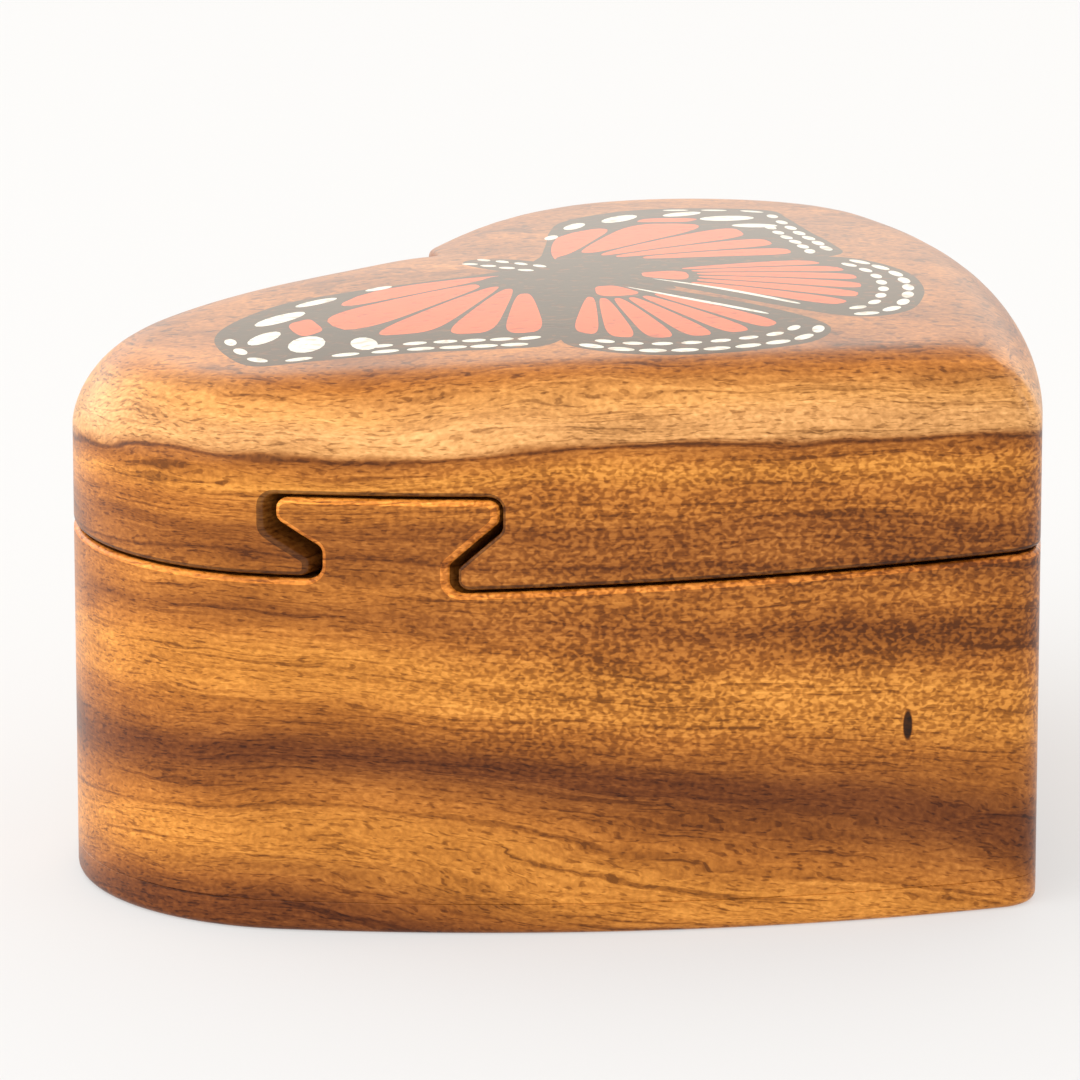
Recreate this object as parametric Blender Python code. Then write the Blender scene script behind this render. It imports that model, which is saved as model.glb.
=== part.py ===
"""A heart-shaped wooden jewelry box whose domed lid slides off sideways.

Three solids: the hollow base, with a dovetail rail left standing on each side wall, the thin
bottom plate glued under it, and the lid, with a dovetail slot that runs over the rails.
The heart's point looks along -Y and its two lobes along +Y. The lid slides along X.
Sizes are in millimetres and the model is in metres. The outline is drawn with y = 0 on the
line through the two lobe centres, and is moved to the middle of the box when it is built.
"""
import math

import bmesh
import bpy

MM = 0.001

# Outline of the heart
HALF_WIDTH = 60.0
LOBE_RADIUS = 26.0
CLEFT_DEPTH = 16.1
CLEFT_ROUND = 1.0
FLANK_RADIUS = 172.0
POINT_RADIUS = 5.0
POINT_REACH = 70.6

# Bottom plate and base
BOTTOM_THICKNESS = 3.4
BOTTOM_EASE = 0.9
GLUE_LINE = 0.3
SHOULDER_HEIGHT = 38.8
WALL = 12.0
INNER_POINT_RADIUS = 4.0

# The saw cut between lid and base, and the dovetail in it
RAIL_FROM_LOBES = 22.55
RAIL_HEAD = 19.4
RAIL_NECK = 11.0
RAIL_HEIGHT = 8.8
RAIL_CHEEK = 6.4
NECK_RISE_POINT = 1.8
NECK_RISE_LOBE = 3.4
SHOULDER_DIP = 1.4
SHOULDER_CLIMB = 1.8
HEAD_ROUND = 1.3
NECK_ROUND = 1.1
FOOT_ROUND = 1.5
TOOTH_ROUND = 0.8

# How far the lid's cut stands off from the base's, along each stretch
GAP_SHOULDER = 0.35
GAP_TOP = 0.35
GAP_POINT_CHEEK = 0.4
GAP_POINT_FLANK = 0.9
GAP_LOBE_CHEEK = 1.2
GAP_LOBE_FLANK = 1.7

# Dome of the lid
TOP_HEIGHT = 61.9
DOME_RADIUS = 500.0
DOME_CENTRE_FROM_LOBES = 28.0
EDGE_DROP = 7.4
EDGE_RUN = 9.6
EDGE_POWER_IN = 2.6
EDGE_POWER_UP = 1.6
CLEFT_SHARPNESS = 0.95
CLEFT_SPREAD = 22.0

# Facets
CLEFT_STEPS = 4
INNER_ARC_STEPS = 7
LOBE_STEPS = 12
FLANK_STEPS = 9
POINT_STEPS = 4
ROUND_STEPS = 3
DOME_STEPS = (0.0, 0.004, 0.015, 0.04, 0.09, 0.17, 0.29, 0.45, 0.66, 1.0)
CORE_STEPS = (0.82, 0.6, 0.34)
INNERMOST_LOBE = 2.0
SMALLEST_POINT = 0.5
SAW_MARGIN = 12.0

# Worked out from the sizes above
LOBE_X = HALF_WIDTH - LOBE_RADIUS
SHIFT_Y = (POINT_REACH - LOBE_RADIUS) / 2
RAIL_Y = -RAIL_FROM_LOBES
DOME_Y = -DOME_CENTRE_FROM_LOBES
CLEFT_Y = LOBE_RADIUS - CLEFT_DEPTH


def arc(centre, radius, start, end, steps):
    """Points from one angle to the other on a circle, both ends kept."""
    turn = (end - start) / steps
    return [(centre[0] + radius * math.cos(start + turn * i),
             centre[1] + radius * math.sin(start + turn * i)) for i in range(steps + 1)]


def angle_to(start, end):
    return math.atan2(end[1] - start[1], end[0] - start[0])


def heart(inset=0.0, point_radius=SMALLEST_POINT):
    """The heart's outline moved inwards by inset, from the cleft round by +X and back."""
    inner_radius = (LOBE_X ** 2 + CLEFT_DEPTH ** 2) / (2 * CLEFT_DEPTH)
    lobe = (LOBE_X, 0.0)
    inner = (LOBE_X, LOBE_RADIUS - inner_radius)
    cleft = (0.0, inner[1] + math.sqrt((inner_radius + CLEFT_ROUND) ** 2 - LOBE_X ** 2))

    # The flank's circle touches the lobe's and the point's circles from outside
    tip = (0.0, POINT_RADIUS - POINT_REACH)
    to_lobe = FLANK_RADIUS - LOBE_RADIUS
    to_tip = FLANK_RADIUS - POINT_RADIUS
    span = math.dist(lobe, tip)
    along = (to_lobe ** 2 - to_tip ** 2 + span ** 2) / (2 * span)
    across = math.sqrt(to_lobe ** 2 - along ** 2)
    ux, uy = (tip[0] - lobe[0]) / span, (tip[1] - lobe[1]) / span
    flank = (lobe[0] + ux * along + uy * across, lobe[1] + uy * along - ux * across)

    tip_radius = max(POINT_RADIUS - inset, point_radius)
    reach = FLANK_RADIUS - inset - tip_radius
    tip = (0.0, flank[1] - math.sqrt(reach ** 2 - flank[0] ** 2))

    right = arc(cleft, CLEFT_ROUND + inset, -math.pi / 2, angle_to(cleft, inner), CLEFT_STEPS)
    right += arc(inner, inner_radius - inset, angle_to(inner, cleft), math.pi / 2, INNER_ARC_STEPS)[1:]
    right += arc(lobe, LOBE_RADIUS - inset, math.pi / 2, angle_to(flank, lobe), LOBE_STEPS)[1:]
    right += arc(flank, FLANK_RADIUS - inset, angle_to(flank, lobe), angle_to(flank, tip), FLANK_STEPS)[1:]
    right += arc(tip, tip_radius, angle_to(flank, tip), -math.pi / 2, POINT_STEPS)[1:]
    return right + [(-x, y) for x, y in right[-2:0:-1]]


def dome_height(x, y, depth):
    """Height of the lid's top at a place that lies depth inside the outline.

    The sander rounds the edge all the way round but hardly reaches into the cleft.
    """
    bowl = (x ** 2 + (y - DOME_Y) ** 2) / (2 * DOME_RADIUS)
    rim = 1 - (1 - min(depth / EDGE_RUN, 1.0)) ** EDGE_POWER_IN
    near_cleft = math.exp(-(x ** 2 + (y - CLEFT_Y) ** 2) / CLEFT_SPREAD ** 2)
    drop = EDGE_DROP * (1 - CLEFT_SHARPNESS * near_cleft)
    return TOP_HEIGHT - bowl - drop * (1 - rim ** (1 / EDGE_POWER_UP))


def line_crossing(a, b):
    """Where two lines, each a point and a direction, cross."""
    (px, py), (ux, uy) = a
    (qx, qy), (vx, vy) = b
    k = ((qx - px) * vy - (qy - py) * vx) / (ux * vy - uy * vx)
    return (px + ux * k, py + uy * k)


def moved_off(corners, gaps):
    """An open run of corners with each stretch moved to its left by its own gap."""
    lines = []
    for (a, b), gap in zip(zip(corners, corners[1:]), gaps):
        length = math.dist(a, b)
        ux, uy = (b[0] - a[0]) / length, (b[1] - a[1]) / length
        lines.append(((a[0] - uy * gap, a[1] + ux * gap), (ux, uy)))
    first = lines[0][0]
    last = (corners[-1][0] - lines[-1][1][1] * gaps[-1], corners[-1][1] + lines[-1][1][0] * gaps[-1])
    return [first] + [line_crossing(p, q) for p, q in zip(lines, lines[1:])] + [last]


def rounded(corners, radii):
    """The run with each inner corner turned into an arc, cut short where a stretch is short."""
    points = [corners[0]]
    for before, here, after, radius in zip(corners, corners[1:], corners[2:], radii):
        into, out = math.dist(before, here), math.dist(here, after)
        u = ((before[0] - here[0]) / into, (before[1] - here[1]) / into)
        v = ((after[0] - here[0]) / out, (after[1] - here[1]) / out)
        half = math.acos(max(-1.0, min(1.0, u[0] * v[0] + u[1] * v[1]))) / 2
        cut = min(radius / math.tan(half), 0.45 * into, 0.45 * out)
        radius = cut * math.tan(half)
        start = (here[0] + u[0] * cut, here[1] + u[1] * cut)
        middle = math.hypot(u[0] + v[0], u[1] + v[1])
        reach = radius / math.sin(half)
        centre = (here[0] + (u[0] + v[0]) / middle * reach, here[1] + (u[1] + v[1]) / middle * reach)
        begin = angle_to(centre, start)
        end = angle_to(centre, (here[0] + v[0] * cut, here[1] + v[1] * cut))
        turn = (end - begin + math.pi) % (2 * math.pi) - math.pi
        points += arc(centre, radius, begin, begin + turn, ROUND_STEPS)
    return points + [corners[-1]]


def saw_corners():
    """Corners of the base's upper edge, as (y, z), from beyond the point to beyond the lobes."""
    foot = SHOULDER_HEIGHT - SHOULDER_DIP
    head, neck = RAIL_HEAD / 2, RAIL_NECK / 2
    cheek, top = SHOULDER_HEIGHT + RAIL_CHEEK, SHOULDER_HEIGHT + RAIL_HEIGHT
    slope = SHOULDER_CLIMB / (POINT_REACH + RAIL_Y - neck)
    start = -POINT_REACH - SAW_MARGIN
    return [
        (start, foot + slope * (RAIL_Y - neck - start)),
        (RAIL_Y - neck, foot),
        (RAIL_Y - neck, SHOULDER_HEIGHT + NECK_RISE_POINT),
        (RAIL_Y - head, cheek),
        (RAIL_Y - head, top),
        (RAIL_Y + head, top),
        (RAIL_Y + head, cheek),
        (RAIL_Y + neck, SHOULDER_HEIGHT + NECK_RISE_LOBE),
        (RAIL_Y + neck, SHOULDER_HEIGHT),
        (LOBE_RADIUS + SAW_MARGIN, SHOULDER_HEIGHT),
    ]


def base_edge():
    radii = [FOOT_ROUND, NECK_ROUND, HEAD_ROUND, HEAD_ROUND, HEAD_ROUND, HEAD_ROUND, NECK_ROUND, FOOT_ROUND]
    return rounded(saw_corners(), radii)


def lid_edge():
    gaps = [GAP_SHOULDER, GAP_POINT_FLANK, GAP_POINT_FLANK, GAP_POINT_CHEEK, GAP_TOP,
            GAP_LOBE_CHEEK, GAP_LOBE_FLANK, GAP_LOBE_CHEEK, GAP_SHOULDER]
    radii = [FOOT_ROUND, TOOTH_ROUND, HEAD_ROUND, HEAD_ROUND, HEAD_ROUND, HEAD_ROUND, TOOTH_ROUND, FOOT_ROUND]
    return rounded(moved_off(saw_corners(), gaps), radii)


def make_object(name, mesh_edit, origin=(0.0, 0.0, 0.0), colour=None, roughness=0.4):
    """A new object whose mesh comes from points in millimetres round the given origin."""
    edit = bmesh.new()
    mesh_edit(edit)
    for vertex in edit.verts:
        vertex.co = ((vertex.co.x - origin[0]) * MM,
                     (vertex.co.y + SHIFT_Y - origin[1]) * MM,
                     (vertex.co.z - origin[2]) * MM)
    bmesh.ops.triangulate(edit, faces=[face for face in edit.faces if len(face.verts) > 4])
    bmesh.ops.recalc_face_normals(edit, faces=edit.faces)
    mesh = bpy.data.meshes.new(name)
    edit.to_mesh(mesh)
    edit.free()
    made = bpy.data.objects.new(name, mesh)
    made.location = [value * MM for value in origin]
    bpy.context.collection.objects.link(made)
    if colour:
        mesh.materials.append(wood(name, colour, roughness))
    return made


def wood(name, colour, roughness):
    material = bpy.data.materials.new(name)
    material.use_nodes = True
    shader = material.node_tree.nodes["Principled BSDF"]
    shader.inputs["Base Color"].default_value = (*colour, 1.0)
    shader.inputs["Roughness"].default_value = roughness
    shader.inputs["Metallic"].default_value = 0.0
    return material


def skin(edit, rings):
    """Joins a stack of rings, lists of (x, y, z) of one length, by faces between neighbours."""
    rows = [[edit.verts.new(point) for point in ring] for ring in rings]
    for low, high in zip(rows, rows[1:]):
        for i in range(len(low)):
            j = (i + 1) % len(low)
            edit.faces.new((low[i], low[j], high[j], high[i]))
    return rows


def at_height(ring, z):
    return [(x, y, z) for x, y in ring]


def sweep_cutter(name, edge, far_z, origin=(0.0, 0.0, 0.0)):
    """A solid along X between the cut's edge, a run of (y, z), and a flat far side."""
    outline = edge + [(edge[-1][0], far_z), (edge[0][0], far_z)]
    half = HALF_WIDTH + SAW_MARGIN

    def fill(edit):
        ends = skin(edit, [[(x, y, z) for y, z in outline] for x in (-half, half)])
        edit.faces.new(ends[0])
        edit.faces.new(reversed(ends[1]))

    cutter = make_object(name, fill, origin)
    cutter.hide_render = True
    cutter.display_type = "WIRE"
    return cutter


def cut_away(solid, cutter):
    cutter.parent = solid
    cutter.matrix_parent_inverse = solid.matrix_basis.inverted()
    boolean = solid.modifiers.new("cut", "BOOLEAN")
    boolean.operation = "DIFFERENCE"
    boolean.solver = "EXACT"
    boolean.object = cutter


def make_bottom_plate():
    """A thin plate with the heart's outline and an eased lower edge."""
    def fill(edit):
        rings = []
        for i in range(ROUND_STEPS + 1):
            turn = math.pi / 2 * i / ROUND_STEPS
            inset = BOTTOM_EASE * (1 - math.sin(turn))
            rings.append(at_height(heart(inset), BOTTOM_EASE * (1 - math.cos(turn))))
        rings.append(at_height(heart(), BOTTOM_THICKNESS))
        rows = skin(edit, rings)
        edit.faces.new(reversed(rows[0]))
        edit.faces.new(rows[-1])

    return make_object("bottom_plate", fill, colour=(0.42, 0.19, 0.065))


def make_base():
    """The heart-shaped wall, open above and below, cut off along the saw line."""
    low = BOTTOM_THICKNESS + GLUE_LINE
    high = SHOULDER_HEIGHT + RAIL_HEIGHT + SAW_MARGIN

    def fill(edit):
        outside, inside = heart(), heart(WALL, INNER_POINT_RADIUS)
        loop = [at_height(outside, low), at_height(outside, high), at_height(inside, high),
                at_height(inside, low), at_height(outside, low)]
        skin(edit, loop)
        bmesh.ops.remove_doubles(edit, verts=edit.verts, dist=MM)

    base = make_object("base", fill, colour=(0.46, 0.2, 0.06))
    cut_away(base, sweep_cutter("space_above_base", base_edge(), high + SAW_MARGIN))
    return base


def dome_rings():
    """Rings of the lid from under its saw line up the wall and over the dome to the middle."""
    reach = min(EDGE_RUN, LOBE_RADIUS - INNERMOST_LOBE)
    rings = [at_height(heart(), SHOULDER_HEIGHT - SAW_MARGIN)]
    for share in DOME_STEPS:
        depth = share * reach
        rings.append([(x, y, dome_height(x, y, depth)) for x, y in heart(depth)])
    last = heart(reach)
    for share in CORE_STEPS:
        ring = [(x * share, DOME_Y + (y - DOME_Y) * share) for x, y in last]
        depth = reach * (2 - share)
        rings.append([(x, y, dome_height(x, y, depth)) for x, y in ring])
    return rings


def make_lid(origin):
    """The domed lid, with the saw line and its dovetail slot cut out of its underside."""
    def fill(edit):
        rows = skin(edit, dome_rings())
        edit.faces.new(reversed(rows[0]))
        middle = edit.verts.new((0.0, DOME_Y, TOP_HEIGHT))
        inner = rows[-1]
        for i in range(len(inner)):
            edit.faces.new((inner[i], inner[(i + 1) % len(inner)], middle))

    lid = make_object("lid", fill, origin, colour=(0.5, 0.24, 0.085))
    cut_away(lid, sweep_cutter("space_below_lid", lid_edge(), SHOULDER_HEIGHT - 2 * SAW_MARGIN, origin))
    return lid


def main():
    for leftover in list(bpy.data.objects):
        bpy.data.objects.remove(leftover, do_unlink=True)
    box = bpy.data.objects.new("jewelry_box", None)
    bpy.context.collection.objects.link(box)
    slide_line = (0.0, RAIL_Y + SHIFT_Y, SHOULDER_HEIGHT + RAIL_HEIGHT)
    for piece in (make_bottom_plate(), make_base(), make_lid(slide_line)):
        piece.parent = box


main()
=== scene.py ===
# %% [markdown]
# A heart-shaped keepsake box with a painted lid.
# The real box is sawn from one block of figured hardwood. A band saw cuts the heart's outline,
# the hollow, and one wavy cut that parts the lid from the base with a dovetail in it.
# A thin plate is glued underneath, the edges are sanded round, a butterfly is painted on top,
# and the whole is varnished. The frame holds the plain solids, and this lesson dresses them.

# %% Load the frame
import math

import bmesh
import bpy
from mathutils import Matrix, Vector
from mathutils.geometry import delaunay_2d_cdt


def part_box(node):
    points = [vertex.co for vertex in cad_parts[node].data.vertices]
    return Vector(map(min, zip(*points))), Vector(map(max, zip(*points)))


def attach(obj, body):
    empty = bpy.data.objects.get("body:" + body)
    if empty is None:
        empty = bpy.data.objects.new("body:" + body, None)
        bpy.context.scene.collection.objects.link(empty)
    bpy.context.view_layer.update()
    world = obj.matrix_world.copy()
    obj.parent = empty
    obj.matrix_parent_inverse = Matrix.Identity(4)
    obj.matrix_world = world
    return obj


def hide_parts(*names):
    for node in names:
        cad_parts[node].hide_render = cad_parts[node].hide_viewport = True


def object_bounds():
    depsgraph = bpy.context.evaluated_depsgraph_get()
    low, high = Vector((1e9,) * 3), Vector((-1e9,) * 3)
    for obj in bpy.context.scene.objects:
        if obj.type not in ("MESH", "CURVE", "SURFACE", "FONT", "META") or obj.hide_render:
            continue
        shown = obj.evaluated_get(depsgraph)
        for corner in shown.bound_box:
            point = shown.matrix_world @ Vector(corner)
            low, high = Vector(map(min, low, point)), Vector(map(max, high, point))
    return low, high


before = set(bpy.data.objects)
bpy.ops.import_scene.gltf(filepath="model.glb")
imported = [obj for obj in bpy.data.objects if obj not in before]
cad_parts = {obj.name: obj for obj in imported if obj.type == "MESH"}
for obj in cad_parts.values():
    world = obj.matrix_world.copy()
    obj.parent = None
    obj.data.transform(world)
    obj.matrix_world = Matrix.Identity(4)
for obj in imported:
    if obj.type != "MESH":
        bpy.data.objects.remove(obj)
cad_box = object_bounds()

MM = 0.001
print("frame box in mm:", [[round(value / MM, 1) for value in corner] for corner in cad_box])

# %% [markdown]
# The camera comes first, so that every later render can be laid beside the photograph.
# It looks along the left flank, from a little above, through a long lens that keeps the
# box's upright lines upright.

# %% Camera
CAMERA_PLACE = (-0.72435, -0.54251, 0.27253)
CAMERA_TARGET = (0.00217, 0.01949, 0.02906)
CAMERA_LENS = 284.24


def make_camera():
    lens = bpy.data.cameras.new("camera")
    lens.lens = CAMERA_LENS
    lens.sensor_width = 36.0
    lens.clip_start = 0.05
    camera = bpy.data.objects.new("camera", lens)
    camera.location = CAMERA_PLACE
    look = Vector(CAMERA_TARGET) - Vector(CAMERA_PLACE)
    camera.rotation_euler = look.to_track_quat("-Z", "Y").to_euler()
    bpy.context.collection.objects.link(camera)
    bpy.context.scene.camera = camera
    return look.length


print("camera stands", round(make_camera(), 3), "m from the box")

# %% [markdown]
# The heart is drawn from five arcs on each side, each running smoothly into the next: the
# little round at the bottom of the cleft, the inner and outer rounds of the lobe, the long
# flank, and the small round at the point. The sizes are those of the frame's solids, only
# with more points along each arc, so that no facets show. y is 0 on the line through the
# lobe centres here, and SHIFT_Y moves the finished meshes to the middle of the box.

# %% The heart's outline
LOBE_RADIUS = 26.0
CLEFT_DEPTH = 16.1
CLEFT_ROUND = 1.0
FLANK_RADIUS = 172.0
POINT_RADIUS = 5.0
SMALLEST_POINT = 0.5
ARC_STEPS = (8, 24, 40, 34, 10)

box_low, box_high = cad_box
HALF_WIDTH = (box_high[0] - box_low[0]) / 2 / MM
POINT_REACH = (box_high[1] - box_low[1]) / MM - LOBE_RADIUS
TOP_HEIGHT = box_high[2] / MM
LOBE_X = HALF_WIDTH - LOBE_RADIUS
SHIFT_Y = (POINT_REACH - LOBE_RADIUS) / 2


def angle_to(start, end):
    return math.atan2(end[1] - start[1], end[0] - start[0])


def heart_arcs(inset=0.0, point_radius=SMALLEST_POINT):
    """The right half's arcs from the cleft to the point, each (centre, radius, start, end)."""
    inner_radius = (LOBE_X ** 2 + CLEFT_DEPTH ** 2) / (2 * CLEFT_DEPTH)
    lobe = (LOBE_X, 0.0)
    inner = (LOBE_X, LOBE_RADIUS - inner_radius)
    cleft = (0.0, inner[1] + math.sqrt((inner_radius + CLEFT_ROUND) ** 2 - LOBE_X ** 2))

    # The flank's circle touches the lobe's and the point's circles from outside
    tip = (0.0, POINT_RADIUS - POINT_REACH)
    to_lobe = FLANK_RADIUS - LOBE_RADIUS
    to_tip = FLANK_RADIUS - POINT_RADIUS
    span = math.dist(lobe, tip)
    along = (to_lobe ** 2 - to_tip ** 2 + span ** 2) / (2 * span)
    across = math.sqrt(to_lobe ** 2 - along ** 2)
    ux, uy = (tip[0] - lobe[0]) / span, (tip[1] - lobe[1]) / span
    flank = (lobe[0] + ux * along + uy * across, lobe[1] + uy * along - ux * across)

    tip_radius = max(POINT_RADIUS - inset, point_radius)
    reach = FLANK_RADIUS - inset - tip_radius
    tip = (0.0, flank[1] - math.sqrt(reach ** 2 - flank[0] ** 2))
    return [
        (cleft, CLEFT_ROUND + inset, -math.pi / 2, angle_to(cleft, inner)),
        (inner, inner_radius - inset, angle_to(inner, cleft), math.pi / 2),
        (lobe, LOBE_RADIUS - inset, math.pi / 2, angle_to(flank, lobe)),
        (flank, FLANK_RADIUS - inset, angle_to(flank, lobe), angle_to(flank, tip)),
        (tip, tip_radius, angle_to(flank, tip), -math.pi / 2),
    ]


def arc(centre, radius, start, end, steps):
    """Points from one angle to the other on a circle, both ends kept."""
    turn = (end - start) / steps
    return [(centre[0] + radius * math.cos(start + turn * i),
             centre[1] + radius * math.sin(start + turn * i)) for i in range(steps + 1)]


def heart(inset=0.0, point_radius=SMALLEST_POINT):
    """The outline moved inwards by inset, from the cleft round by +X and back."""
    right = []
    for (centre, radius, start, end), steps in zip(heart_arcs(inset, point_radius), ARC_STEPS):
        right += arc(centre, radius, start, end, steps)[1 if right else 0:]
    return right + [(-x, y) for x, y in right[-2:0:-1]]


print("outline points:", len(heart()))

# %% [markdown]
# One saw cut parts the lid from the base. Seen from the side it runs in from the point,
# climbs round a dovetail and runs out over the lobes. The frame's corners are used again,
# with more points round each corner. The lid's side of the cut stands off by the blade's
# width and by what was sanded away.

# %% The saw cut
SHOULDER_HEIGHT = 38.8
RAIL_Y = -22.55
RAIL_HEAD = 19.4
RAIL_NECK = 11.0
RAIL_HEIGHT = 8.8
RAIL_CHEEK = 6.4
NECK_RISE_POINT = 1.8
NECK_RISE_LOBE = 3.4
SHOULDER_DIP = 1.4
SHOULDER_CLIMB = 1.8
BASE_ROUNDS = (1.5, 1.1, 1.3, 1.3, 1.3, 1.3, 1.1, 1.5)
LID_ROUNDS = (1.5, 0.8, 1.3, 1.3, 1.3, 1.3, 0.8, 1.5)
LID_GAPS = (0.35, 0.9, 0.9, 0.4, 0.35, 1.2, 1.7, 1.2, 0.35)
SAW_MARGIN = 12.0
ROUND_STEPS = 5


def saw_corners():
    """Corners of the base's upper edge, as (y, z), from beyond the point to beyond the lobes."""
    foot = SHOULDER_HEIGHT - SHOULDER_DIP
    head, neck = RAIL_HEAD / 2, RAIL_NECK / 2
    cheek, top = SHOULDER_HEIGHT + RAIL_CHEEK, SHOULDER_HEIGHT + RAIL_HEIGHT
    slope = SHOULDER_CLIMB / (POINT_REACH + RAIL_Y - neck)
    start = -POINT_REACH - SAW_MARGIN
    return [
        (start, foot + slope * (RAIL_Y - neck - start)),
        (RAIL_Y - neck, foot),
        (RAIL_Y - neck, SHOULDER_HEIGHT + NECK_RISE_POINT),
        (RAIL_Y - head, cheek),
        (RAIL_Y - head, top),
        (RAIL_Y + head, top),
        (RAIL_Y + head, cheek),
        (RAIL_Y + neck, SHOULDER_HEIGHT + NECK_RISE_LOBE),
        (RAIL_Y + neck, SHOULDER_HEIGHT),
        (LOBE_RADIUS + SAW_MARGIN, SHOULDER_HEIGHT),
    ]


def line_crossing(a, b):
    """Where two lines, each a point and a direction, cross."""
    (px, py), (ux, uy) = a
    (qx, qy), (vx, vy) = b
    k = ((qx - px) * vy - (qy - py) * vx) / (ux * vy - uy * vx)
    return (px + ux * k, py + uy * k)


def moved_off(corners, gaps):
    """An open run of corners with each stretch moved to its left by its own gap."""
    lines = []
    for (a, b), gap in zip(zip(corners, corners[1:]), gaps):
        length = math.dist(a, b)
        ux, uy = (b[0] - a[0]) / length, (b[1] - a[1]) / length
        lines.append(((a[0] - uy * gap, a[1] + ux * gap), (ux, uy)))
    first = lines[0][0]
    last = (corners[-1][0] - lines[-1][1][1] * gaps[-1], corners[-1][1] + lines[-1][1][0] * gaps[-1])
    return [first] + [line_crossing(p, q) for p, q in zip(lines, lines[1:])] + [last]


def rounded(corners, radii):
    """The run with each inner corner turned into an arc, cut short where a stretch is short."""
    points = [corners[0]]
    for before, here, after, radius in zip(corners, corners[1:], corners[2:], radii):
        into, out = math.dist(before, here), math.dist(here, after)
        u = ((before[0] - here[0]) / into, (before[1] - here[1]) / into)
        v = ((after[0] - here[0]) / out, (after[1] - here[1]) / out)
        half = math.acos(max(-1.0, min(1.0, u[0] * v[0] + u[1] * v[1]))) / 2
        cut = min(radius / math.tan(half), 0.45 * into, 0.45 * out)
        radius = cut * math.tan(half)
        start = (here[0] + u[0] * cut, here[1] + u[1] * cut)
        middle = math.hypot(u[0] + v[0], u[1] + v[1])
        reach = radius / math.sin(half)
        centre = (here[0] + (u[0] + v[0]) / middle * reach, here[1] + (u[1] + v[1]) / middle * reach)
        begin = angle_to(centre, start)
        end = angle_to(centre, (here[0] + v[0] * cut, here[1] + v[1] * cut))
        turn = (end - begin + math.pi) % (2 * math.pi) - math.pi
        points += arc(centre, radius, begin, begin + turn, ROUND_STEPS)
    return points + [corners[-1]]


base_edge = rounded(saw_corners(), BASE_ROUNDS)
lid_edge = rounded(moved_off(saw_corners(), LID_GAPS), LID_ROUNDS)
print("points along the cut:", len(base_edge), "and", len(lid_edge))

# %% [markdown]
# The pieces are meshes built ring by ring, and the saw cut comes from an exact Boolean, as in
# the workshop: first the block, then the saw. A Boolean is evaluated once and kept as a plain
# mesh, so that its sharp edges can be rounded afterwards. Faces can't be named, but a Boolean
# keeps their materials. So four empty materials serve as marks, which tell later what is
# outer wood, what was sawn, and what is an edge.

# %% Mesh helpers
def skin(edit, rings):
    """Joins a stack of rings, lists of (x, y, z) of one length, by faces between neighbours."""
    rows = [[edit.verts.new(point) for point in ring] for ring in rings]
    for low, high in zip(rows, rows[1:]):
        for i in range(len(low)):
            j = (i + 1) % len(low)
            edit.faces.new((low[i], low[j], high[j], high[i]))
    return rows


def at_height(ring, z):
    return [(x, y, z) for x, y in ring]


SEAM_WELD = 0.001
SAW_WELD = 0.02
WOOD, CAP, SAWN, EDGE = 0, 1, 2, 3
MARKS = [bpy.data.materials.new(name) for name in ("wood_mark", "cap_mark", "sawn_mark", "edge_mark")]


def solid(name, fill, mark=WOOD):
    """A linked object from the mesh that fill draws, in millimetres and in heart coordinates."""
    edit = bmesh.new()
    fill(edit)
    bmesh.ops.recalc_face_normals(edit, faces=edit.faces)
    for face in edit.faces:
        face.material_index = max(face.material_index, mark)
    mesh = bpy.data.meshes.new(name)
    for material in MARKS:
        mesh.materials.append(material)
    edit.to_mesh(mesh)
    edit.free()
    made = bpy.data.objects.new(name, mesh)
    bpy.context.collection.objects.link(made)
    return made


def cut(block, saw):
    """Saws one object out of the other and deletes the saw. Returns the block's new mesh."""
    boolean = block.modifiers.new("cut", "BOOLEAN")
    boolean.operation = "DIFFERENCE"
    boolean.solver = "EXACT"
    boolean.object = saw
    graph = bpy.context.evaluated_depsgraph_get()
    shape = bpy.data.meshes.new_from_object(block.evaluated_get(graph))
    block.modifiers.clear()
    block.data = shape
    bpy.data.objects.remove(saw, do_unlink=True)
    return shape


def saw_solid(edge, far_z):
    """A solid along X between the cut's edge, a run of (y, z), and a flat far side."""
    outline = edge + [(edge[-1][0], far_z), (edge[0][0], far_z)]
    half = HALF_WIDTH + SAW_MARGIN

    def fill(edit):
        ends = skin(edit, [[(x, y, z) for y, z in outline] for x in (-half, half)])
        edit.faces.new(ends[0])
        edit.faces.new(reversed(ends[1]))

    return solid("saw", fill, SAWN)


def clear_of_cut(outline, edge, reach=1.2, steepness=4):
    """Which outline points to keep: those that stand clear of the upright parts of the cut."""
    upright = [a[0] for a, b in zip(edge, edge[1:]) if abs(b[1] - a[1]) > steepness * abs(b[0] - a[0])]
    return [i for i, (x, y) in enumerate(outline) if all(abs(y - line) > reach for line in upright)]


# %% [markdown]
# Every edge that a hand can feel was sanded round. A bevel in bmesh does this on the edges
# that the saw left sharp, and weighted normals keep the broad faces flat beside the narrow
# rounds.

# %% Rounding and shading
SHARP = math.radians(35.0)
EDGE_SEGMENTS = 4


def ease_edges(edit, width, mark, chosen):
    """Rounds the sharp edges that chosen accepts, and marks the narrow faces."""
    sharp = [edge for edge in edit.edges
             if len(edge.link_faces) == 2 and edge.calc_face_angle() > SHARP and chosen(edge)]
    bmesh.ops.bevel(edit, geom=sharp, offset=width, offset_type="OFFSET", segments=EDGE_SEGMENTS,
                    profile=0.5, affect="EDGES", clamp_overlap=False, loop_slide=True, material=mark)
    return len(sharp)


def shade(made):
    """Smooth shading, with the broad faces' normals leading."""
    mesh = made.data
    mesh.shade_smooth()
    mesh.set_sharp_from_angle(angle=SHARP)
    weighted = made.modifiers.new("weighted normals", "WEIGHTED_NORMAL")
    weighted.keep_sharp = True


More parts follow.
